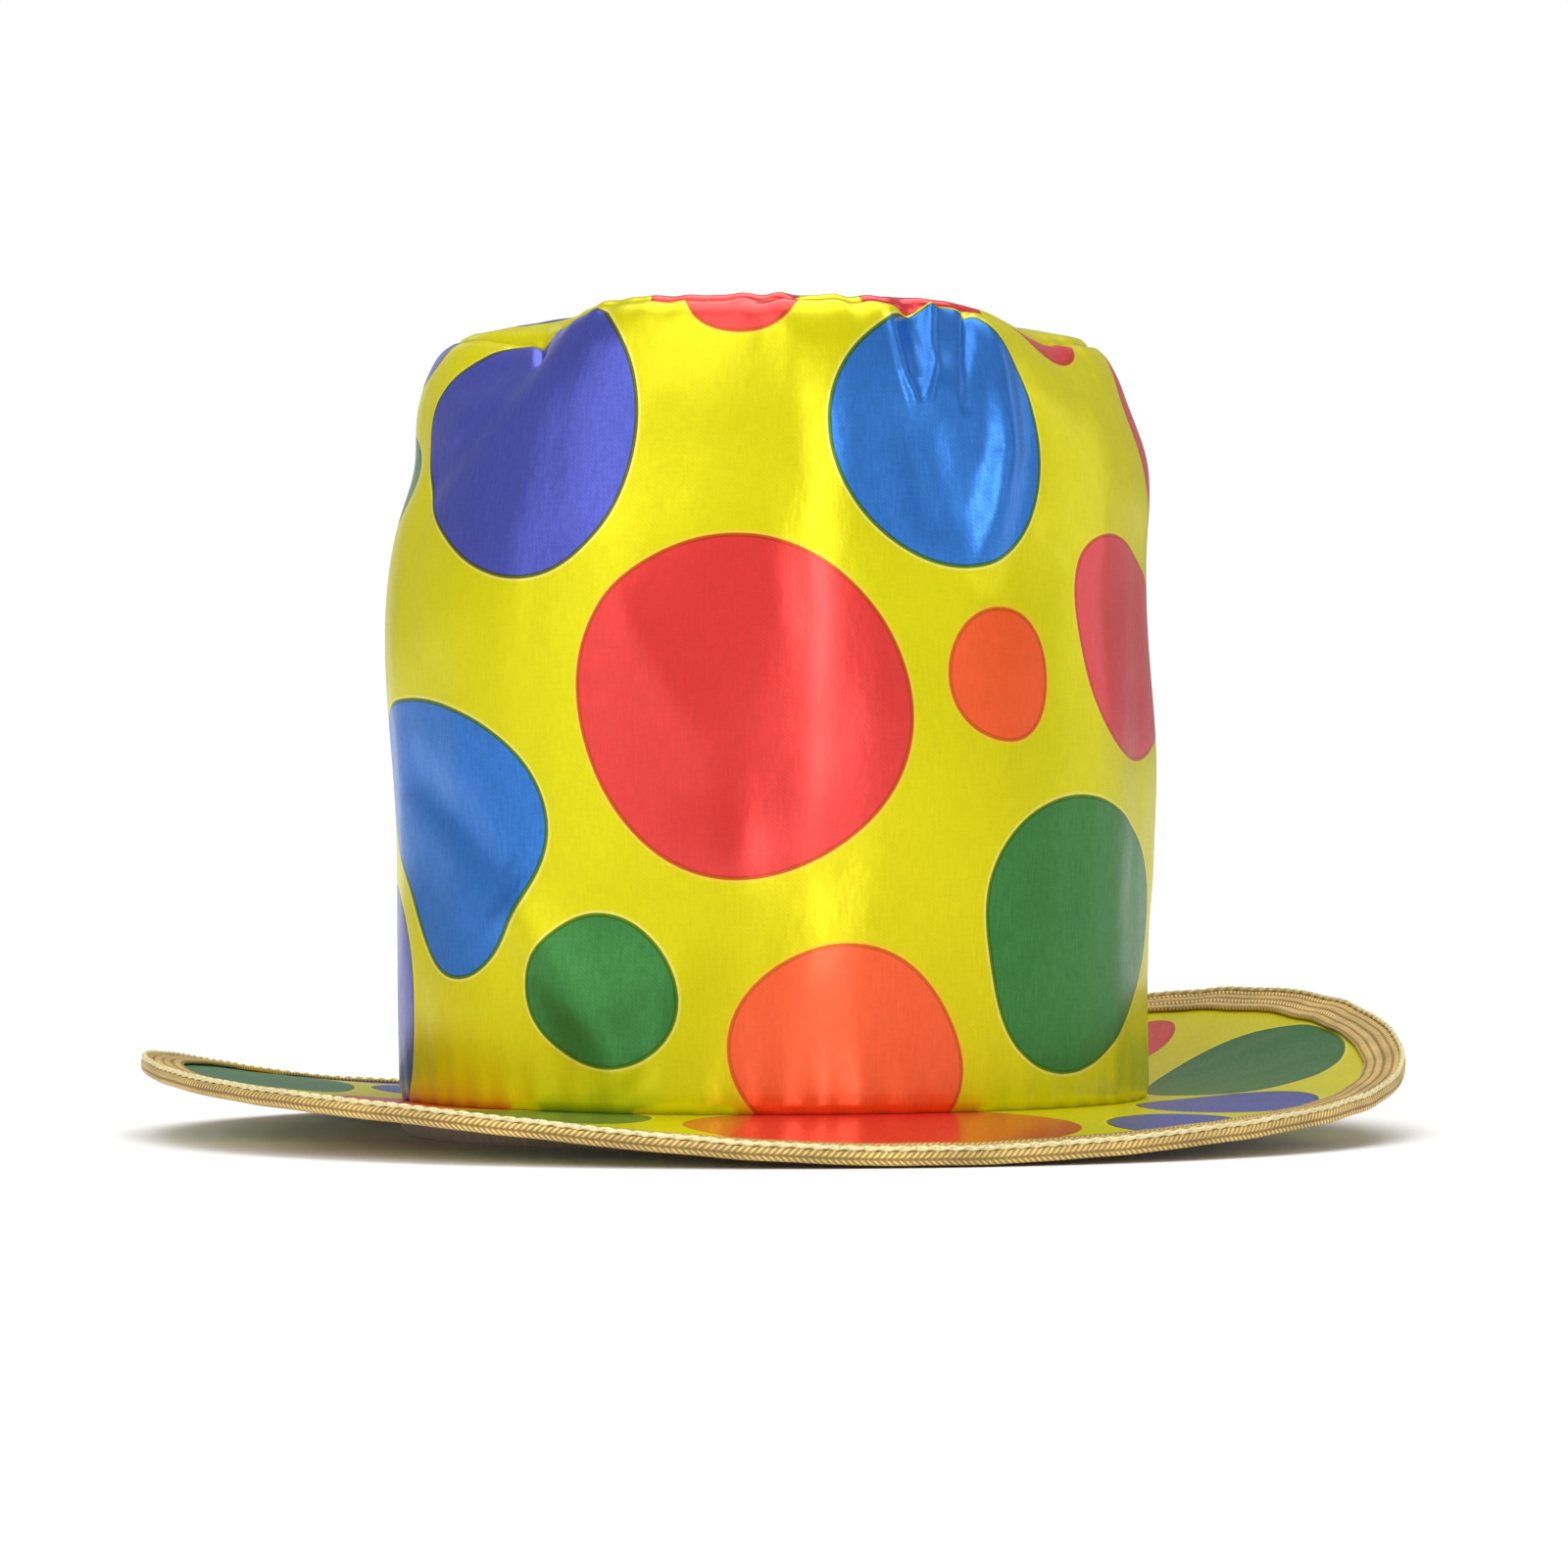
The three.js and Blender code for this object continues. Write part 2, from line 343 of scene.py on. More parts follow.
@dataclass
class Cloth:
    """A closed surface: rows along its section, columns round the hat.

    points has a row of vertices for each place on the section and a column for each bearing, in
    millimetres, and chart the same with one more column, so that the print's chart can close.
    face is each row's finish, and edge and ink are the print. A plain piece leaves those out.
    """

    points: Array
    chart: Array
    face: Array | None = None
    edge: Array | None = None
    ink: Array | None = None
    capped: bool = False

    def __post_init__(self) -> None:
        """Gives a plain piece one finish and a blank print."""
        grid = self.points.shape[:2]
        self.face = np.zeros(grid[0], dtype=int) if self.face is None else self.face
        self.edge = np.zeros(grid) if self.edge is None else self.edge
        self.ink = np.zeros((*grid, 3)) if self.ink is None else self.ink

    def corners(self) -> tuple[Array, Array, Array]:
        """Numbers the corners of the ring's quads.

        Returns:
            Vertex numbers, the chart place of each corner, and each quad's material number.
        """
        rows, columns = self.points.shape[:2]
        row = np.arange(rows - 1 if self.capped else rows)[:, None]
        column = np.arange(columns)[None, :]
        size = (len(row), columns)
        above, right = (row + 1) % rows, (column + 1) % columns
        ring = ((row, column), (row, right), (above, right), (above, column))
        quads = np.stack([np.broadcast_to(r * columns + c, size) for r, c in ring], -1)
        flat = ((row, column), (row, column + 1), (above, column + 1), (above, column))
        places = np.stack([self.chart[r, c] for r, c in flat], 2)
        face = np.broadcast_to(self.face[: len(row), None], size)
        return quads.reshape(-1, 4), places.reshape(-1, 2), face.ravel()

    def fans(self) -> tuple[Array, Array]:
        """Closes the first and the last row, each with triangles round one middle vertex.

        Returns:
            Vertex numbers, and the chart place of each corner.
        """
        rows, columns = self.points.shape[:2]
        column = np.arange(columns)
        right, low = (column + 1) % columns, np.full(columns, rows * columns)
        last = (rows - 1) * columns
        numbers = [[low, right, column], [last + column, last + right, low + 1]]
        first, final = self.chart[0], self.chart[-1]
        middle = self.chart[[0, -1], :-1].mean(1)
        below, above = np.broadcast_to(middle[:, None], (2, columns, 2))
        places = [[below, first[1:], first[:-1]], [final[:-1], final[1:], above]]
        triangles = np.concatenate([np.stack(fan, 1) for fan in numbers])
        corners = np.concatenate([np.stack(fan, 1) for fan in places])
        return triangles, corners.reshape(-1, 2)

    def build(self, name: str, materials: list[Material]) -> bpy.types.Object:
        """Makes the mesh object, with its chart, its print and its finishes.

        Args:
            name: the piece's name.
            materials: one finish for each Face that the rows use.

        Returns:
            The new object, in the scene.
        """
        points, edge, ink = self.points.reshape(-1, 3), self.edge.ravel(), self.ink.reshape(-1, 3)
        quads, places, face = self.corners()
        faces = quads.tolist()
        if self.capped:
            triangles, fan_places = self.fans()
            ends = [0, -1]
            faces += triangles.tolist()
            places = np.concatenate([places, fan_places])
            face = np.concatenate([face, np.repeat(self.face[ends], self.points.shape[1])])
            points = np.concatenate([points, self.points[ends].mean(1)])
            edge = np.concatenate([edge, self.edge[ends].mean(1)])
            ink = np.concatenate([ink, self.ink[ends].mean(1)])
        mesh = bpy.data.meshes.new(name)
        mesh.from_pydata(points * MM, [], faces)
        mesh.polygons.foreach_set("material_index", face.astype(np.int32))
        mesh.polygons.foreach_set("use_smooth", np.ones(len(faces), dtype=bool))
        chart = mesh.uv_layers.new(name="chart")
        chart.data.foreach_set("uv", places.astype(np.float32).ravel())
        rgba = np.concatenate([ink, np.ones((len(ink), 1))], 1)
        prints = (("dot_edge", "FLOAT", "value", edge), ("dot_ink", "FLOAT_COLOR", "color", rgba))
        for title, kind, key, values in prints:
            layer = mesh.attributes.new(title, kind, "POINT")
            layer.data.foreach_set(key, values.astype(np.float32).ravel())
        for material in materials:
            mesh.materials.append(material)
        mesh.update()
        piece = bpy.data.objects.new(name, mesh)
        bpy.context.scene.collection.objects.link(piece)
        return piece


def round_trip(columns: int) -> tuple[Array, Array]:
    """Bearings round the hat in a row: one for each column, and the same with the closing one."""
    closed = np.linspace(-180.0, 180.0, columns + 1)[None, :]
    return closed[:, :-1], closed


def at_bearing(bearing: Array, radius: Array, height: Array | float) -> Array:
    """Turns a bearing, radius and height into x, y and z."""
    angle = np.radians(bearing)
    return np.stack(np.broadcast_arrays(radius * np.sin(angle), -radius * np.cos(angle), height), -1)


def unrolled(closed: Array, radius: float, along: Array) -> Array:
    """A chart of the way round at a radius and the way along the section."""
    return np.stack(np.broadcast_arrays(np.radians(closed) * radius, along), -1)


def in_plan(closed: Array, radius: Array) -> Array:
    """A chart of x and y, as seen from above."""
    return at_bearing(closed, radius, 0.0)[..., :2]


@dataclass
class Crown:
    """The crown's satin side and tip, hung on one outline and dented alike, in millimetres."""

    seat: float = 9.6
    cloth: float = 1.4
    rim_radius: float = 87.6
    seam_radius: float = 84.0
    seam_gap: float = 0.3
    roof: float = 180.0
    fan_radius: float = 1.0
    columns: int = 480
    fine_bearings: int = 3601
    stretch_steps: int = 64
    tucks: tuple[float, ...] = (27.0, -48.0)
    tuck_spread: float = 12.0
    knee: float = 134.0
    pucker_reach: float = 20.0
    outer_steps: Range = (2.6, 0.9)
    inner_steps: Range = (5.0, 2.6)
    groove: float = 0.9
    groove_width: float = 1.3
    pucker_width: float = 7.0
    foot_tuck: float = 0.8
    foot_height: float = 1.3
    gather: float = 0.3
    gather_height: float = 9.0
    ripple: float = 0.35
    fine_ripple: float = 0.12
    calm_radius: float = 75.0

    def __post_init__(self) -> None:
        """Walks the outline once.

        The outline is a centripetal cubic through the table's rows: between two rows it is the
        Hermite cubic whose end slopes come from the neighbouring rows' spacing.
        """
        rows = np.array(CROWN_OUTLINE)[:, ::-1]
        padded = np.concatenate([[2 * rows[0] - rows[1]], rows, [2 * rows[-1] - rows[-2]]])
        gap = np.sqrt(np.linalg.norm(np.diff(padded, axis=0), axis=1))[:, None]
        before, here, there, after = padded[:-3], padded[1:-2], padded[2:-1], padded[3:]
        g0, g1, g2 = gap[:-2], gap[1:-1], gap[2:]
        leave = ((here - before) / g0 - (there - before) / (g0 + g1) + (there - here) / g1) * g1
        arrive = ((there - here) / g1 - (after - here) / (g1 + g2) + (after - there) / g2) * g1
        t = np.linspace(0, 1, self.stretch_steps, endpoint=False)[None, :, None]
        here, there, leave, arrive = (part[:, None] for part in (here, there, leave, arrive))
        run = (2 * t**3 - 3 * t**2 + 1) * here + (t**3 - 2 * t**2 + t) * leave
        run = run + (3 * t**2 - 2 * t**3) * there + (t**3 - t**2) * arrive
        self.line = np.concatenate([run.reshape(-1, 2), rows[-1:]])
        steps = np.linalg.norm(np.diff(self.line, axis=0), axis=1)
        self.walk = np.concatenate([[0], np.cumsum(steps)])
        self.slope = np.gradient(self.line, self.walk, axis=0)
        roof = self.line[:, 1] > self.roof
        self.seam = float(np.interp(-self.seam_radius, -self.line[roof, 0], self.walk[roof]))

    def outline(self, walk: Array) -> tuple[Array, Array, Array, Array]:
        """Looks up the outline.

        Args:
            walk: length walked along it, in millimetres.

        Returns:
            Radius and height, and their slopes as a direction of length 1.
        """
        columns = (*self.line.T, *self.slope.T)
        radius, height, lean_r, lean_h = (np.interp(walk, self.walk, column) for column in columns)
        size = np.hypot(lean_r, lean_h)
        return radius, height, lean_r / size, lean_h / size

    def along(self, radius: Array, height: Array) -> Array:
        """The way up the side and on over the rim, as the dents' and dots' tables count it."""
        return height + np.maximum(0, self.rim_radius - radius)

    def relief(self, bearing: Array, along: Array, walk: Array) -> Array:
        """How far the folds lift the cloth off the crown's outline.

        A fold is its height, fading or tapering along its line, times a bell of the distance to it.
        The seam adds a narrow groove and puckers that come and go round the rim and die away from
        it, the foot is tucked in and gathered, and slow ripples cross, which die away toward the
        axis. Puckers, gathers and ripples are sines of the bearing and of the way up.

        Args:
            bearing: bearings in degrees.
            along: the way up, in millimetres.
            walk: length walked along the outline, in millimetres.

        Returns:
            The lift in millimetres, outward where it is above zero.
        """
        across = np.radians(bearing) * UNROLL
        lift = np.zeros(np.broadcast_shapes(across.shape, along.shape))
        for fold in CROWN_FOLDS:
            away, share = way_to_line(fold.path, across, along)
            height = fold.height * (1 - fold.fade * share) * (4 * share * (1 - share)) ** fold.taper
            lift = lift + height * np.exp(-((away / fold.width) ** fold.power))
        angle = np.radians(bearing)
        seam = walk - self.seam
        pucker = np.sin(41 * angle + 1.2 * np.sin(5 * angle)) + 0.6 * np.sin(67 * angle + 0.8)
        strength = 0.2 + 0.14 * np.sin(3 * angle + 2) + 0.1 * np.sin(7 * angle)
        lift = lift - self.groove * bell(seam / self.groove_width)
        lift = lift + strength * pucker * bell(seam / self.pucker_width)
        lift = lift - self.foot_tuck * np.exp(-along / self.foot_height)
        gather = np.sin(58 * angle + np.sin(7 * angle)) * np.exp(-along / self.gather_height)
        ripple = np.sin(9 * angle + along / 23) * np.sin(4 * angle - along / 31 + 1)
        fine = np.sin(23 * angle - along / 11) * np.sin(13 * angle + along / 17 + 2)
        calm = np.minimum(1.0, self.outline(walk)[0] / self.calm_radius) ** 2
        return lift + self.gather * gather + (self.ripple * ripple + self.fine_ripple * fine) * calm

    def lay(self, bearing: Array, walk: Array, depth: Array) -> tuple[Array, Array]:
        """Lays the crown's cloth.

        A point leaves the outline along its normal by the folds' relief less its depth. Each dent
        then moves it inward and down by a bell of its bearing and of its way up.

        Args:
            bearing: bearings in degrees.
            walk: length walked along the outline, in millimetres.
            depth: depth below the outer face, in millimetres.

        Returns:
            The points, and the way up of each row.
        """
        radius, height, lean_r, lean_h = self.outline(walk)
        up = self.along(radius, height)
        sink = depth - self.relief(bearing, up, walk)
        radius, height = radius - sink * lean_h, height + sink * lean_r
        along = self.along(radius, height)
        inward, drop = np.zeros_like(along), np.zeros_like(along)
        for dent in CROWN_DENTS:
            turn = wrapped(bearing - dent.bearing, 360)
            weight = np.exp(-((turn / dent.spread) ** 2) - ((along - dent.along) / dent.reach) ** 2)
            inward, drop = inward + dent.inward * weight, drop + dent.drop * weight
        return at_bearing(bearing, radius - inward, height - drop + self.seat), up

    def bearings(self) -> tuple[Array, Array]:
        """Bearings of the columns, which crowd together at the front's tucks.

        The columns to a degree go as one and a bell round each tuck, and the bearings are where
        the sum of that, walked round the hat in fine steps, reaches equal shares.

        Returns:
            The columns' bearings in a row, in degrees, and the same with the closing one.
        """
        fine = np.linspace(-180.0, 180.0, self.fine_bearings)
        away = (fine[:, None] - np.array(self.tucks)) / self.tuck_spread
        crowd = np.cumsum(1 + 2 * bell(away).sum(1))
        shares = np.linspace(crowd[0], crowd[-1], self.columns + 1)
        closed = np.interp(shares, crowd, fine)[None, :]
        return closed[:, :-1], closed

    def rows(self, start: float, end: float, steps: Range) -> Array:
        """Spaces rows along the outline: finely from the knee until the seam's puckers end.

        Args:
            start: the first row's length along the outline.
            end: the last row's.
            steps: the coarse and the fine step.

        Returns:
            The rows' lengths along the outline.
        """
        coarse, fine = steps
        low, high = np.clip((self.knee, self.seam + self.pucker_reach), start, end)
        runs = ((start, low, coarse), (low, high, fine), (high, end, coarse))
        return np.concatenate([np.arange(*run) for run in runs] + [[end]])

    def shell(self, start: float, end: float, down: bool) -> tuple[Array, Array, Array]:
        """Takes a section along one face of the cloth and back along the other.

        Args:
            start: where the outer face begins on the outline.
            end: where it ends.
            down: True where the outer face is walked last, as on the tip.

        Returns:
            Walks and depths as columns of one value for each row, and each row's finish.
        """
        outer = self.rows(start, end, self.outer_steps)
        inner = self.rows(start, end, self.inner_steps)
        first, second = (inner[::-1], outer) if down else (outer, inner[::-1])
        depths = [self.cloth, 0.0] if down else [0.0, self.cloth]
        depth = np.repeat(depths, [len(first), len(second)])
        face = np.where(depth > 0, Face.IN.value, Face.OUT.value)
        return np.concatenate([first, second])[:, None], depth[:, None], face

    def side(self) -> Cloth:
        """Lays the side wall, a tube of cloth from the brim to the rim's seam.

        Returns:
            The side's surface.
        """
        bearing, closed = self.bearings()
        walk, depth, face = self.shell(0.0, self.seam - self.seam_gap / 2, False)
        points, up = self.lay(bearing, walk, depth)
        across, height = np.broadcast_arrays(np.radians(bearing) * UNROLL, up)
        edge, ink = print_dots(SIDE_DOTS, across, height, TURN)
        return Cloth(points, unrolled(closed, UNROLL, up), face, edge, ink)

    def tip(self) -> Cloth:
        """Lays the tip, a round panel of cloth from the rim's seam to the axis.

        Returns:
            The tip's surface.
        """
        bearing, closed = self.bearings()
        start, end = self.seam + self.seam_gap / 2, self.walk[-1] - self.fan_radius
        walk, depth, face = self.shell(start, end, True)
        points, _ = self.lay(bearing, walk, depth)
        edge, ink = print_dots(TIP_DOTS, points[..., 0], points[..., 1])
        return Cloth(points, in_plan(closed, self.outline(walk)[0]), face, edge, ink, capped=True)


@dataclass
class Brim:
    """The wavy brim and what follows its edge: the folded braid and a pale cord, in millimetres."""

    seat: float = 8.9
    cloth: float = 1.2
    inner: float = 94.0
    outer: float = 164.6
    root: float = 98.6
    hem: float = 164.7
    sweep: float = 1.25
    columns: int = 480
    rows: int = 44
    welt_radius: float = 101.0
    welt: float = 0.5
    welt_groove_radius: float = 103.5
    welt_groove: float = 0.3
    pucker: float = 0.06
    right_pucker: float = 0.12
    right_bearing: float = 105.0
    right_spread: float = 42.0
    span: float = 166.0
    braid_columns: int = 900
    braid_inner: float = 155.2
    braid_fold: float = 164.9
    braid_proud: float = 0.2
    braid_back: float = 1.9
    braid_leaf: float = 0.9
    braid_inset: float = 0.2
    braid_turn_rows: int = 13
    braid_flat_rows: int = 25
    wander: float = 0.18
    fine_wander: float = 0.1
    rib: float = 2.4
    rib_height: float = 0.24
    rib_middle: float = 0.6
    rib_roundness: float = 0.8
    chart_radius: float = 160.0
    cord_columns: int = 2500
    cord_sides: int = 10
    cord_radius: float = 0.62
    cord_twists: int = 250
    cord_swell: float = 0.3
    cord_inset: float = 0.75
    cord_lift: float = 0.3

    def rise(self, bearing: Array, radius: Array) -> Array:
        """Height of the cloth's middle above its root.

        The edge's height is its mean and the sum of its waves, and the brim climbs to it by a
        power of the share of the way out. Small radial puckers grow toward the edge, most at the right.

        Args:
            bearing: bearings in degrees.
            radius: radii in millimetres.

        Returns:
            The height in millimetres.
        """
        out = np.maximum(0.0, (radius - self.root) / (self.hem - self.root))
        edge = EDGE_LIFT
        for wave in EDGE_WAVES:
            edge = edge + wave.rise * np.cos(np.radians(wave.crests * (bearing - wave.first)))
        window = bell(wrapped(bearing - self.right_bearing, 360) / self.right_spread)
        angle = np.radians(bearing)
        pucker = np.sin(31 * angle + np.sin(6 * angle)) + 0.5 * np.sin(53 * angle + 1)
        return edge * out**self.sweep + (self.pucker + self.right_pucker * window) * pucker * out

    def sheet(self) -> Cloth:
        """Lays the brim's cloth: out along its under face and back on top.

        A sewn welt and a groove beside it, each a bell of the radius, run round the under face.

        Returns:
            The brim's surface.
        """
        bearing, closed = round_trip(self.columns)
        run = np.linspace(self.inner, self.outer, self.rows)
        radius = np.concatenate([run, run[::-1]])[:, None]
        side = np.repeat([-0.5, 0.5], self.rows)[:, None] * self.cloth
        welt = self.welt * bell(radius - self.welt_radius)
        welt = welt - self.welt_groove * bell(radius - self.welt_groove_radius)
        height = self.seat + self.rise(bearing, radius) + side - np.where(side < 0, welt, 0.0)
        points = at_bearing(bearing, radius, height)
        edge, ink = print_dots(BRIM_DOTS, points[..., 0], points[..., 1])
        face = np.where(side[:, 0] < 0, Face.IN.value, Face.OUT.value)
        face[-1] = Face.IN.value  # the strip that closes the inner margin
        return Cloth(points, in_plan(closed, radius), face, edge, ink)

    def braid(self) -> Cloth:
        """Folds the ribbed braid over the edge.

        Its section runs out under the brim, round a half ellipse and back on top, with a row of
        round ribs on its outer face, and returns along its inner face. Its inner edges wander.

        Returns:
            The braid's surface.
        """
        bearing, closed = round_trip(self.braid_columns)
        bulge = self.span + self.braid_proud - self.braid_fold
        reach = self.braid_fold - self.braid_inner
        turn = np.radians(np.linspace(-90, 90, self.braid_turn_rows))
        under = np.linspace(0, reach, self.braid_flat_rows + 1)[:-1]
        flat = np.ones(len(under))
        bend = self.braid_fold + bulge * np.cos(turn)
        outer_r = np.concatenate([self.braid_inner + under, bend, self.braid_inner + under[::-1]])
        normal_r = np.concatenate([0 * flat, np.cos(turn), 0 * flat])
        normal_z = np.concatenate([-flat, np.sin(turn), flat])
        outer_z = self.braid_back * normal_z
        way = np.concatenate([[0], np.cumsum(np.hypot(np.diff(outer_r), np.diff(outer_z)))])
        ribs = np.abs(np.sin(np.pi * way / self.rib)) ** self.rib_roundness
        bump = self.rib_height * (ribs - self.rib_middle)
        inside = self.braid_back - self.braid_leaf
        near, far = self.braid_inner + self.braid_inset, self.braid_fold - self.braid_inset
        radius = np.concatenate([outer_r + bump * normal_r, [near, far, far, near]])[:, None]
        inner_z = [inside, inside, -inside, -inside]
        lift = np.concatenate([outer_z + bump * normal_z, inner_z])[:, None]
        share = np.clip((self.braid_fold - radius) / reach, 0, 1)
        angle = np.radians(bearing)
        wander = self.wander * np.sin(19 * angle + np.sin(3 * angle))
        wander = wander + self.fine_wander * np.sin(43 * angle + 0.6)
        radius = radius + wander * share**2
        points = at_bearing(bearing, radius, self.seat + self.rise(bearing, radius) + lift)
        across = np.concatenate([way, np.linspace(way[-1], 0, len(inner_z))])[:, None]
        return Cloth(points, unrolled(closed, self.chart_radius, across))

    def edging(self) -> Cloth:
        """Twists the two-strand edging cord along the braid's upper edge.

        Round the cord its radius swells twice, and the swell turns with the bearing.

        Returns:
            The cord's surface.
        """
        bearing, closed = round_trip(self.cord_columns)
        around = np.linspace(0, 2 * np.pi, self.cord_sides, endpoint=False)[:, None]
        twist = np.radians(bearing) * self.cord_twists
        size = self.cord_radius * (1 + self.cord_swell * np.cos(2 * around - twist))
        middle = self.span - self.cord_inset
        lift = self.seat + self.rise(bearing, np.full_like(bearing, middle))
        height = lift + self.braid_back + self.cord_lift + size * np.sin(around)
        points = at_bearing(bearing, middle + size * np.cos(around), height)
        return Cloth(points, unrolled(closed, self.chart_radius, around))


@dataclass
class HeadBand:
    """The cloth roll round the head opening, pressed flat above and below, in millimetres."""

    middle: float = 94.0
    half: float = 4.0
    bulge: float = 4.35
    inner_reach: float = 4.3
    outer_reach: float = 4.2
    pucker: float = 0.22
    swell: float = 0.2
    columns: int = 540
    rows: int = 32

    def roll(self) -> Cloth:
        """Rolls the band: a tube whose section is a circle cut flat, with slanting puckers.

        The puckers are waves round the hat that lean with the way round the section, and they die
        where the roll stands on the floor or meets the brim.

        Returns:
            The roll's surface.
        """
        bearing, closed = round_trip(self.columns)
        around = np.linspace(-np.pi, np.pi, self.rows, endpoint=False)[:, None]
        angle = np.radians(bearing)
        pucker = np.sin(64 * angle + 1.6 * around + np.sin(9 * angle))
        pucker = pucker + 0.7 * np.sin(37 * angle - around + 1)
        free = np.cos(around) ** 2
        size = self.bulge + self.pucker * pucker * free + self.swell * np.sin(5 * angle + 2) * free
        radius = self.middle + np.clip(size * np.cos(around), -self.inner_reach, self.outer_reach)
        height = self.half + np.clip(size * np.sin(around), -self.half, self.half)
        points = at_bearing(bearing, radius, height)
        return Cloth(points, unrolled(closed, self.middle, around * self.bulge))


class Bench:
    """Adds nodes to one shader tree and joins them.

    A value is another node's output or a plain number or colour.
    """

    def __init__(self, tree: bpy.types.NodeTree) -> None:
        """Keeps the tree."""
        self.tree = tree

    def put(self, value: Any, socket: Socket) -> None:
        """Joins an output to a socket, or sets a plain value on it.

        Args:
            value: the output or the plain value.
            socket: the input that takes it.
        """
        if isinstance(value, Socket):
            self.tree.links.new(value, socket)
        else:
            socket.default_value = value

    def node(self, kind: str, inputs: dict[Any, Any] | None = None, **settings: Any) -> bpy.types.Node:
        """Adds a node.

        Args:
            kind: the node's type, less its ShaderNode prefix.
            inputs: values for its sockets, by name or number.
            settings: the node's own properties.

        Returns:
            The node.
        """
        node = self.tree.nodes.new(f"ShaderNode{kind}")
        for key, value in settings.items():
            setattr(node, key, value)
        for key, value in (inputs or {}).items():
            self.put(value, node.inputs[key])
        return node

    def group(self, tree: bpy.types.NodeTree, **inputs: Any) -> bpy.types.NodeOutputs:
        """The outputs of a node group placed with these inputs."""
        return self.node("Group", inputs, node_tree=tree).outputs

    def math(self, operation: str, *values: Any) -> Socket:
        """A Math node's result for one to three values."""
        return self.node("Math", dict(enumerate(values)), operation=operation).outputs[0]

    def times(self, first: Any, second: Any) -> Socket:
        """Two values multiplied."""
        return self.math("MULTIPLY", first, second)

    def plus(self, first: Any, second: Any) -> Socket:
        """Two values added."""
        return self.math("ADD", first, second)

    def mix(self, factor: Any, first: Any, second: Any, blend: str = "MIX") -> Socket:
        """A colour mixed from two."""
        inputs = {0: factor, 6: first, 7: second}
        return self.node("Mix", inputs, data_type="RGBA", blend_type=blend).outputs[2]

    def span(self, value: Any, low: Any, high: Any, to_low: Any = 0.0, to_high: Any = 1.0) -> Socket:
        """A value carried smoothly from one range to another and kept inside it."""
        inputs = {0: value, 1: low, 2: high, 3: to_low, 4: to_high}
        return self.node("MapRange", inputs, interpolation_type="SMOOTHSTEP").outputs[0]

    def noise(self, vector: Any, scale: Any, detail: float = 2.0) -> Socket:
        """A noise texture's value."""
        return self.node("TexNoise", {"Vector": vector, "Scale": scale, "Detail": detail}).outputs[0]

    def sized(self, vector: Any, scale: Any) -> Socket:
        """A vector or a colour times a number."""
        return self.node("VectorMath", {0: vector, "Scale": scale}, operation="SCALE").outputs[0]

    def stretched(self, vector: Any, scale: Vector, shift: Vector = (0.0, 0.0, 0.0)) -> Socket:
        """A chart stretched by its own scale each way, and shifted."""
        inputs = {"Vector": vector, "Scale": scale, "Location": shift}
        return self.node("Mapping", inputs).outputs[0]

    def red(self, colour: Any) -> Socket:
        """A colour's red."""
        return self.node("SeparateColor", {0: colour}).outputs[0]

    def flat(self, vector: Any) -> list[Socket]:
        """A chart's two ways, along and across."""
        return self.node("SeparateXYZ", {0: vector}).outputs[:2]


class Finish(Bench):
    """A bench on a new material with one Principled shader."""

    def __init__(self, name: str) -> None:
        """Starts the material.

        Args:
            name: the material's name.
        """
        self.material = bpy.data.materials.new(name)
        self.material.use_nodes = True
        super().__init__(self.material.node_tree)
        self.tree.nodes.clear()
        self.shader = self.node("BsdfPrincipled")
        self.output = self.node("OutputMaterial", {0: self.shader.outputs[0]})

    def chart(self) -> Socket:
        """The piece's own chart."""
        return self.node("UVMap", uv_map="chart").outputs[0]

    def place(self) -> Socket:
        """The place on the hat."""
        return self.node("TexCoord").outputs["Object"]

    def bump(self, height: Any, strength: float, distance: float) -> Socket:
        """A normal bumped by a height, with the distance in millimetres."""
        inputs = {"Strength": strength, "Distance": distance * MM, "Height": height}
        return self.node("Bump", inputs).outputs[0]

    def dress(self, inputs: dict[str, Any]) -> Material:
        """Gives the shader its values.

        Args:
            inputs: values for its sockets, by name.

        Returns:
            The material.
        """
        for key, value in inputs.items():
            self.put(value, self.shader.inputs[key])
        return self.material


def opaque(colour: Colour) -> tuple[float, float, float, float]:
    """A colour with its alpha."""
    return (*colour, 1.0)


def start_group(
    name: str, inputs: dict[str, Any], outputs: dict[str, str]
) -> tuple[Bench, dict[str, Socket], bpy.types.NodeInputs]:
    """Starts a shader node group.

    Args:
        name: the group's name.
        inputs: each input's default: a number, a colour, or None for a vector.
        outputs: socket kind by name.

    Returns:
        A bench on the group, what it is given by name, and its output sockets.
    """
    tree = bpy.data.node_groups.new(name, "ShaderNodeTree")
    for title, default in inputs.items():
        kind = f"NodeSocket{SOCKET_KINDS[type(default)]}"
        socket = tree.interface.new_socket(title, in_out="INPUT", socket_type=kind)
        if default is not None:
            socket.default_value = default
    for title, kind in outputs.items():
        tree.interface.new_socket(title, in_out="OUTPUT", socket_type=f"NodeSocket{kind}")
    source = tree.nodes.new("NodeGroupInput").outputs
    sink = tree.nodes.new("NodeGroupOutput").inputs
    return Bench(tree), {title: source[title] for title in inputs}, sink


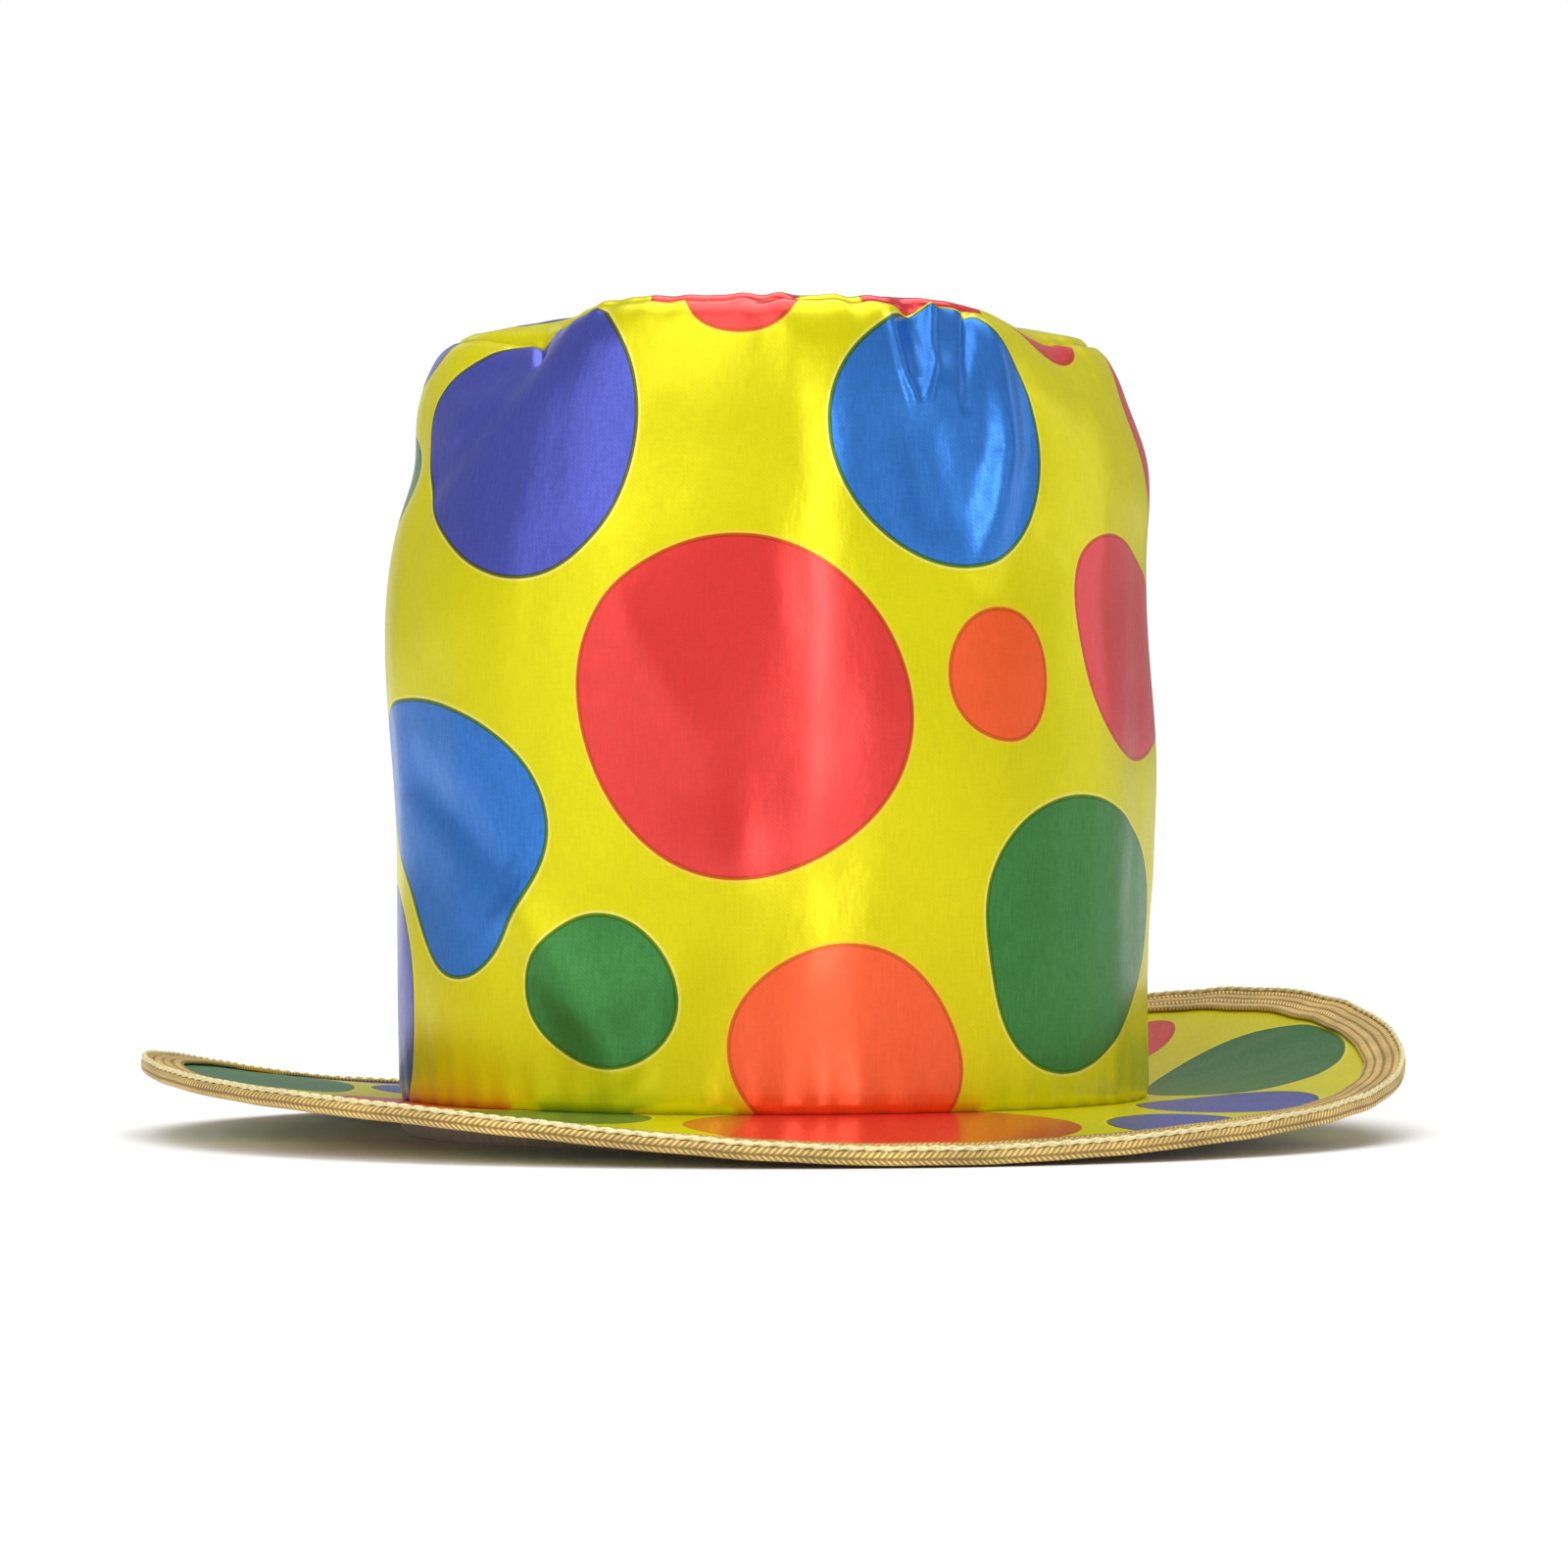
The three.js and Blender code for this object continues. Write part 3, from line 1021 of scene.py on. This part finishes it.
@dataclass
class Effects:
    """The shader node groups that several finishes share, with lengths in millimetres.

    A stretch is how finely a noise runs along, across and through a chart, and a range is where
    a value's change begins and ends.
    """

    overlap_strength: float = 0.85
    halo_away: float = 0.85
    halo_range: Range = (0.1, 0.5)
    halo_strength: float = 0.5
    cool_halo: Colour = (0.84, 0.80, 0.26)
    warm_halo: Colour = (1.0, 0.38, 0.02)
    float_stretch: Vector = (1.25, 0.18, 1.0)
    float_height: float = 0.6
    bar_stretch: Vector = (0.3, 1.2, 1.0)
    bar_shift: Vector = (7.0, 3.0, 0.0)
    bar_height: float = 0.3
    twill_lean: float = 0.8
    twill_pitch: float = 5.6
    twill_wander: float = 9.0
    twill_wander_scale: float = 0.35
    twill_height: float = 0.05
    thread_range: Range = (0.3, 0.6)
    crinkle_stretch: Vector = (0.12, 0.07, 1.0)
    tone_range: Range = (0.3, 0.7)

    def __post_init__(self) -> None:
        """Builds each group once."""
        self.print = self.dot_print()
        self.threads = self.satin_threads()
        self.tone = self.cloth_tone()

    def dot_print(self) -> bpy.types.NodeTree:
        """Printed dots: ink inside the outline, inks overlapping on it and a pale line outside.

        Returns:
            The group, with the print's colour and a mask of its ink.
        """
        inputs = {
            "Ground": opaque((0.8, 0.72, 0.005)), "Ink": opaque((0.8, 0.04, 0.04)),
            "Edge": 10.0, "Blur": 0.2, "Overlap": 0.4,
        }
        bench, given, out = start_group("dot_print", inputs, {"Color": "Color", "Mask": "Float"})
        ground, ink, edge, blur, overlap = given.values()
        mask = bench.span(edge, bench.times(blur, -1.0), blur, 1.0, 0.0)
        printed = bench.mix(mask, ground, ink)
        away = bench.math("ABSOLUTE", edge)
        line = bench.span(away, overlap, bench.plus(overlap, blur), self.overlap_strength, 0.0)
        both = bench.mix(1.0, ground, ink, "MULTIPLY")
        halo = bench.math("ABSOLUTE", bench.math("SUBTRACT", edge, self.halo_away))
        pale = bench.span(halo, *self.halo_range, self.halo_strength, 0.0)
        warm = bench.red(ink)
        halo_colour = bench.mix(warm, opaque(self.cool_halo), opaque(self.warm_halo))
        haloed = bench.mix(pale, printed, halo_colour)
        bench.put(bench.mix(line, haloed, both), out["Color"])
        bench.put(mask, out["Mask"])
        return bench.tree

    def satin_threads(self) -> bpy.types.NodeTree:
        """Satin threads on a millimetre chart: long floats, bars, twill lines and a soft crinkle.

        Returns:
            The group, with the threads' height and tone, and the crinkle's height.
        """
        outputs = {"Height": "Float", "Tone": "Float", "Crinkle": "Float"}
        bench, given, out = start_group("satin_threads", {"Chart": None, "Size": 1.0}, outputs)
        sized = bench.sized(given["Chart"], bench.math("DIVIDE", 1.0, given["Size"]))
        floats = bench.noise(bench.stretched(sized, self.float_stretch), 1.0, 3.0)
        bars = bench.noise(bench.stretched(sized, self.bar_stretch, self.bar_shift), 1.0)
        along, across = bench.flat(sized)
        slant = bench.plus(bench.times(along, self.twill_lean), across)
        wander = bench.times(bench.noise(sized, self.twill_wander_scale), self.twill_wander)
        twill = bench.math("SINE", bench.plus(bench.times(slant, self.twill_pitch), wander))
        height = bench.plus(bench.times(floats, self.float_height), bench.times(bars, self.bar_height))
        height = bench.plus(height, bench.times(twill, self.twill_height))
        bench.put(height, out["Height"])
        bench.put(bench.span(height, *self.thread_range), out["Tone"])
        pulled = bench.stretched(given["Chart"], self.crinkle_stretch)
        bench.put(bench.noise(pulled, 1.0, 3.0), out["Crinkle"])
        return bench.tree

    def cloth_tone(self) -> bpy.types.NodeTree:
        """Cloth tone: slow light and dark over a piece, from its own coordinates.

        Returns:
            The group, with the tone as a share of the colour.
        """
        inputs = {"Place": None, "Scale": 14.0, "Low": 0.92, "High": 1.04}
        bench, given, out = start_group("cloth_tone", inputs, {"Tone": "Float"})
        cloud = bench.noise(given["Place"], given["Scale"], 4.0)
        tone = bench.span(cloud, *self.tone_range, given["Low"], given["High"])
        bench.put(tone, out["Tone"])
        return bench.tree


@dataclass(frozen=True)
class Satin:
    """Printed satin: its ground, how far a pale backing veils the print, and its gloss.

    On the back of the cloth the red and orange inks are faint: the more red, the more veiled.
    Dyed filament throws back light in its own colour, so a share of the gloss is a metal's. On
    the face the red and orange inks also lie as a coat, whose gloss is white. The threads streak
    the cool inks more than the ground.
    """

    name: str
    ground: Colour = (0.66, 0.605, 0.002)
    veil: float = 0.0
    veil_colour: Colour = (0.72, 0.69, 0.58)
    faint: float = 0.0
    blur: float = 0.22
    overlap: float = 0.4
    smooth: float = 0.28
    rough: float = 0.32
    metal: float = 0.34
    ink_metal: float = 0.6
    specular: float = 0.2
    sheen: float = 0.0
    sheen_rough: float = 0.45
    bump: float = 0.042
    crinkle: float = 0.25
    gloss: float = 0.0
    gloss_rough: float = 0.23
    thread: float = 0.95
    streak: float = 0.08
    ink_streak: float = 0.14
    streak_middle: float = 0.6
    tone_low: float = 0.96

    def make(self, effects: Effects) -> Material:
        """Builds the material.

        Args:
            effects: the shared node groups.

        Returns:
            The material.
        """
        finish = Finish(self.name)
        edge = finish.node("Attribute", attribute_name="dot_edge").outputs["Fac"]
        ink = finish.node("Attribute", attribute_name="dot_ink").outputs["Color"]
        inks = {"Ground": opaque(self.ground), "Ink": ink, "Edge": edge}
        printed = finish.group(effects.print, **inks, Blur=self.blur, Overlap=self.overlap)
        threads = finish.group(effects.threads, Chart=finish.chart(), Size=self.thread)
        tone = finish.group(effects.tone, Place=finish.place(), Low=self.tone_low)["Tone"]
        colour, mask = printed["Color"], printed["Mask"]
        red = finish.times(finish.red(ink), mask)
        if self.faint > 0:
            colour = finish.mix(finish.times(red, self.faint), colour, opaque(self.veil_colour))
        if self.veil > 0:
            colour = finish.mix(self.veil, colour, opaque(self.veil_colour))
        cool = finish.math("SUBTRACT", mask, red)
        depth = finish.math("MULTIPLY_ADD", cool, self.ink_streak, self.streak)
        light = finish.math("SUBTRACT", threads["Tone"], self.streak_middle)
        streak = finish.math("MULTIPLY_ADD", light, depth, 1.0)
        weave = finish.times(threads["Height"], self.bump)
        height = finish.math("MULTIPLY_ADD", threads["Crinkle"], self.crinkle, weave)
        inputs = {
            "Base Color": finish.sized(colour, finish.times(streak, tone)),
            "Roughness": finish.span(threads["Tone"], 0.0, 1.0, self.rough, self.smooth),
            "Normal": finish.bump(height, 1.0, 1.0),
            "Metallic": self.metal,
            "Sheen Weight": self.sheen,
            "Sheen Roughness": self.sheen_rough,
            "Specular IOR Level": self.specular,
        }
        if self.ink_metal != self.metal:
            inputs["Metallic"] = finish.span(cool, 0.0, 1.0, self.metal, self.ink_metal)
        if self.gloss > 0:
            inputs["Coat Weight"] = finish.times(red, self.gloss)
            inputs["Coat Roughness"] = self.gloss_rough
        return finish.dress(inputs)


@dataclass(frozen=True)
class Braid:
    """Gold braid: slanting metal threads on the ribs, with painted shade turning the grooves between
    them brown.
    """

    name: str = "gold_braid"
    light: Colour = (0.86, 0.63, 0.24)
    mid: Colour = (0.44, 0.28, 0.07)
    # groove: painted shade, the brown laid in the grooves between the ribs
    groove: Colour = (0.32, 0.195, 0.05)
    rib: float = 2.4
    thread: float = 1.5
    thread_range: Range = (-0.9, 0.7)
    slant: float = 0.45
    crest_range: Range = (0.1, 0.75)
    crest_height: float = 0.6
    bump: float = 0.35
    bump_strength: float = 0.8
    metal: float = 0.45
    rough: float = 0.6
    smooth: float = 0.4
    tone_scale: float = 55.0
    tone_low: float = 0.78
    tone_high: float = 1.12

    def make(self, effects: Effects) -> Material:
        """Builds the material: threads slant one way on one rib and the other way on the next, with
        painted shade in the grooves.

        Args:
            effects: the shared node groups.

        Returns:
            The material.
        """
        finish = Finish(self.name)
        along, across = finish.flat(finish.chart())
        cell = finish.math("DIVIDE", across, self.rib)
        swing = finish.times(finish.math("PINGPONG", cell, 1.0), 2.0)
        side = finish.math("SUBTRACT", swing, 1.0)
        slant = finish.plus(along, finish.times(side, self.rib * self.slant))
        wave = finish.math("SINE", finish.times(slant, 2 * np.pi / self.thread))
        thread = finish.span(wave, *self.thread_range)
        ridge = finish.math("ABSOLUTE", finish.math("SINE", finish.times(cell, np.pi)))
        crest = finish.span(ridge, *self.crest_range)
        tones = {"Scale": self.tone_scale, "Low": self.tone_low, "High": self.tone_high}
        tone = finish.group(effects.tone, Place=finish.place(), **tones)["Tone"]
        base = finish.mix(thread, opaque(self.mid), opaque(self.light))
        # painted shade: away from the rib crests the colour darkens to the groove brown
        base = finish.mix(crest, opaque(self.groove), base)
        height = finish.plus(thread, finish.times(crest, self.crest_height))
        return finish.dress({
            "Base Color": finish.sized(base, tone),
            "Metallic": self.metal,
            "Roughness": finish.span(thread, 0.0, 1.0, self.rough, self.smooth),
            "Normal": finish.bump(height, self.bump_strength, self.bump),
        })


@dataclass(frozen=True)
class Thread:
    """Pale metallic thread of the edging cord."""

    name: str = "pale_edging"
    light: Colour = (0.86, 0.76, 0.42)
    dark: Colour = (0.40, 0.29, 0.10)
    stretch: Vector = (1.4, 2.0, 1.0)
    colour_range: Range = (0.3, 0.55)
    rough_range: Range = (0.3, 0.7)
    rough: float = 0.5
    smooth: float = 0.35
    metal: float = 0.2
    tone_scale: float = 60.0

    def make(self, effects: Effects) -> Material:
        """Builds the material: fine filaments along the cord over a slow change of tone.

        Args:
            effects: the shared node groups.

        Returns:
            The material.
        """
        finish = Finish(self.name)
        cloud = finish.noise(finish.stretched(finish.chart(), self.stretch), 1.0, 3.0)
        tone = finish.group(effects.tone, Place=finish.place(), Scale=self.tone_scale)["Tone"]
        light = finish.span(cloud, *self.colour_range)
        base = finish.mix(light, opaque(self.dark), opaque(self.light))
        return finish.dress({
            "Base Color": finish.sized(base, tone),
            "Metallic": self.metal,
            "Roughness": finish.span(cloud, *self.rough_range, self.rough, self.smooth),
        })


@dataclass(frozen=True)
class Tape:
    """Matte woven tape of the head band."""

    name: str = "band_tape"
    light: Colour = (0.78, 0.63, 0.48)
    shade: Colour = (0.58, 0.45, 0.37)
    thread: float = 0.8
    rib: float = 0.9
    lean: float = 0.7
    weave_range: Range = (0.35, 0.6)
    rib_tones: Range = (0.92, 1.03)
    rough: float = 0.92
    smooth: float = 0.8
    bump: float = 0.12
    bump_strength: float = 0.6
    sheen: float = 0.25
    tone_scale: float = 30.0
    tone_low: float = 0.86

    def make(self, effects: Effects) -> Material:
        """Builds the material: a fine rib round the roll and slow mauve patches.

        Args:
            effects: the shared node groups.

        Returns:
            The material.
        """
        finish = Finish(self.name)
        chart = finish.chart()
        weave = finish.group(effects.threads, Chart=chart, Size=self.thread)["Height"]
        along, across = finish.flat(chart)
        slope = finish.plus(along, finish.times(across, self.lean))
        rib = finish.math("SINE", finish.times(slope, 2 * np.pi / self.rib))
        rib = finish.span(rib, -1.0, 1.0)
        tones = {"Scale": self.tone_scale, "Low": self.tone_low}
        tone = finish.group(effects.tone, Place=finish.place(), **tones)["Tone"]
        light = finish.span(weave, *self.weave_range)
        base = finish.mix(light, opaque(self.shade), opaque(self.light))
        rib_tone = finish.span(rib, 0.0, 1.0, *self.rib_tones)
        return finish.dress({
            "Base Color": finish.sized(base, finish.times(rib_tone, tone)),
            "Roughness": finish.span(rib, 0.0, 1.0, self.rough, self.smooth),
            "Normal": finish.bump(finish.plus(rib, weave), self.bump_strength, self.bump),
            "Sheen Weight": self.sheen,
        })


@dataclass(frozen=True)
class Softbox:
    """A soft light box: its place in metres, its width and height, and its power."""

    name: str
    place: Vector
    wide: float
    tall: float
    power: float

    def lamp(self) -> bpy.types.Light:
        """Makes the lamp.

        Returns:
            The lamp's data.
        """
        data = bpy.data.lights.new(self.name, "AREA")
        data.shape, data.size, data.size_y = "RECTANGLE", self.wide, self.tall
        data.energy = self.power
        return data


@dataclass(frozen=True)
class Sky:
    """A far soft light: a point toward it, its strength and how many degrees of sky it fills."""

    name: str
    place: Vector
    strength: float
    spread: float

    def lamp(self) -> bpy.types.Light:
        """Makes the lamp.

        Returns:
            The lamp's data.
        """
        data = bpy.data.lights.new(self.name, "SUN")
        data.energy, data.angle = self.strength, np.radians(self.spread)
        return data


@dataclass
class Studio:
    """The pale floor, the soft lights and the camera, in metres."""

    distance: float = 1.6
    camera_height: float = 0.085
    aim_height: float = 0.092
    aim_side: float = 0.0028
    lens: float = 139.0
    sensor: float = 36.0
    target: Vector = (0.0, 0.0, 0.12)
    surround: float = 0.30
    floor_half: float = 30.0
    floor_shade: Colour = (0.88, 0.88, 0.875)
    floor_light: Colour = (0.90, 0.90, 0.895)
    floor_range: Range = (0.2, 0.8)
    floor_rough: float = 0.9
    floor_specular: float = 0.1
    lamps: tuple[Softbox | Sky, ...] = (
        Sky("overhead", (0.1, 0.3, 2.0), 2.2, 60.0),
        Sky("key", (-0.9, -1.6, 1.7), 1.03, 45.0),
        Softbox("strip", (0.50, -1.9, 0.45), 0.20, 1.2, 4.5),
        Softbox("strip_soft", (0.52, -1.92, 0.45), 0.55, 1.3, 5.0),
        Softbox("left_box", (-1.9, -0.9, 0.7), 0.9, 1.2, 4.0),
        Softbox("left_front", (-1.5, -1.45, 0.6), 0.7, 1.0, 2.6),
        Softbox("right_front", (1.7, -1.25, 0.7), 0.9, 1.0, 1.6),
        Softbox("right_box", (1.9, 0.6, 0.7), 0.9, 1.2, 3.0),
        Softbox("back_box", (-0.75, 1.85, 0.6), 0.4, 1.2, 0.9),
    )

    def floor(self) -> bpy.types.Object:
        """Lays the floor, a wide flat sheet that is pale from above and clear from below.

        Returns:
            The floor.
        """
        corners = np.array([(-1, -1, 0), (1, -1, 0), (1, 1, 0), (-1, 1, 0)]) * self.floor_half
        mesh = bpy.data.meshes.new("floor")
        mesh.from_pydata(corners, [], [(0, 1, 2, 3)])
        finish = Finish("pale_floor")
        cloud = finish.span(finish.noise(finish.place(), 3.0, 3.0), *self.floor_range)
        pale = finish.mix(cloud, opaque(self.floor_shade), opaque(self.floor_light))
        gloss = {"Roughness": self.floor_rough, "Specular IOR Level": self.floor_specular}
        material = finish.dress({"Base Color": pale, **gloss})
        clear = finish.node("BsdfTransparent").outputs[0]
        below = finish.node("NewGeometry").outputs["Backfacing"]
        blend = finish.node("MixShader", {0: below, 1: finish.shader.outputs[0], 2: clear})
        finish.put(blend.outputs[0], finish.output.inputs[0])
        mesh.materials.append(material)
        floor = bpy.data.objects.new("floor", mesh)
        bpy.context.scene.collection.objects.link(floor)
        return floor

    def light(self) -> None:
        """Adds the lamps, and a surround that looks white but lights the hat only a little."""
        for lamp in self.lamps:
            holder = bpy.data.objects.new(lamp.name, lamp.lamp())
            holder.location = lamp.place
            aim = np.array(self.target) - np.array(lamp.place)
            level = np.hypot(aim[0], aim[1])
            holder.rotation_euler = (np.arctan2(level, -aim[2]), 0.0, np.arctan2(-aim[0], aim[1]))
            bpy.context.scene.collection.objects.link(holder)
        world = bpy.data.worlds.new("studio")
        world.use_nodes = True
        bench = Bench(world.node_tree)
        bench.tree.nodes.clear()
        white = opaque((1.0, 1.0, 1.0))
        dim = bench.node("Background", {"Color": white, "Strength": self.surround}).outputs[0]
        bright = bench.node("Background", {"Color": white, "Strength": 1.0}).outputs[0]
        seen = bench.node("LightPath").outputs["Is Camera Ray"]
        blend = bench.node("MixShader", {0: seen, 1: dim, 2: bright})
        bench.node("OutputWorld", {0: blend.outputs[0]})
        bpy.context.scene.world = world
        bpy.context.scene.view_settings.view_transform = "Standard"

    def camera(self) -> None:
        """Stands the camera in front of the hat, low over the floor."""
        data = bpy.data.cameras.new("camera")
        data.lens, data.sensor_width = self.lens, self.sensor
        camera = bpy.data.objects.new("camera", data)
        camera.location = (self.aim_side, -self.distance, self.camera_height)
        pitch = np.arctan2(self.aim_height - self.camera_height, self.distance)
        camera.rotation_euler = (np.pi / 2 + pitch, 0.0, 0.0)
        bpy.context.scene.collection.objects.link(camera)
        bpy.context.scene.camera = camera


def add_piece(
    cloth: Cloth, name: str, slot: str, materials: list[Material], *nodes: str
) -> bpy.types.Object:
    """Builds a piece, rides it on the hat and lets it stand for solids.

    Args:
        cloth: the piece's surface.
        name: its name.
        slot: the record's material slot that it takes after; not used.
        materials: its finishes.
        nodes: the solids that it stands for.

    Returns:
        The piece.
    """
    piece = cloth.build(name, materials)
    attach(piece, "root")
    if nodes:
        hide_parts(*nodes)
    LOG.info("%s: %d faces", name, len(piece.data.polygons))
    return piece


def main() -> None:
    """Builds the hat's pieces in order, then the studio."""
    logging.basicConfig(level=logging.INFO, format="%(message)s")
    effects = Effects()
    satin = Satin("satin", gloss=0.7).make(effects)
    # The reverse is the cloth's back, with its print veiled and its warm inks faint; its ground and
    # veil are also painted lighter than the face's ground, as painted light standing in for light
    # shining through the cloth into the crown.
    inside = Satin(
        "satin_reverse", ground=(0.84, 0.68, 0.02), veil=0.06, veil_colour=(0.86, 0.70, 0.42),
        faint=0.55, blur=0.5, smooth=0.62, rough=0.75, metal=0.1, ink_metal=0.1, sheen=0.1,
        bump=0.08, tone_low=0.9,
    ).make(effects)
    under = Satin(
        "brim_underside", ground=(0.90, 0.82, 0.02), veil=0.55, veil_colour=(0.80, 0.75, 0.52),
        faint=0.15, blur=1.0, overlap=0.5, smooth=0.5, rough=0.66, metal=0.0, ink_metal=0.0,
        sheen=0.15, bump=0.1, thread=1.4,
    ).make(effects)
    crown, brim, band = Crown(), Brim(), HeadBand()
    side = add_piece(crown.side(), "crown_side_satin", "crown_satin", [satin, inside], "crown_side")
    tip = add_piece(crown.tip(), "crown_tip_satin", "tip_satin", [satin, inside], "crown_tip")
    sheet = add_piece(brim.sheet(), "brim_satin", "brim_satin", [satin, under], "brim")
    braid, thread, tape = (finish.make(effects) for finish in (Braid(), Thread(), Tape()))
    add_piece(brim.braid(), "braid_binding", "gold_braid", [braid], "brim_binding")
    add_piece(brim.edging(), "edging_cord", "gold_braid", [thread])
    roll = add_piece(band.roll(), "head_band_roll", "band_cloth", [tape], "head_band")
    studio = Studio()
    studio.floor()
    studio.light()
    studio.camera()


if __name__ == "__main__":
    main()
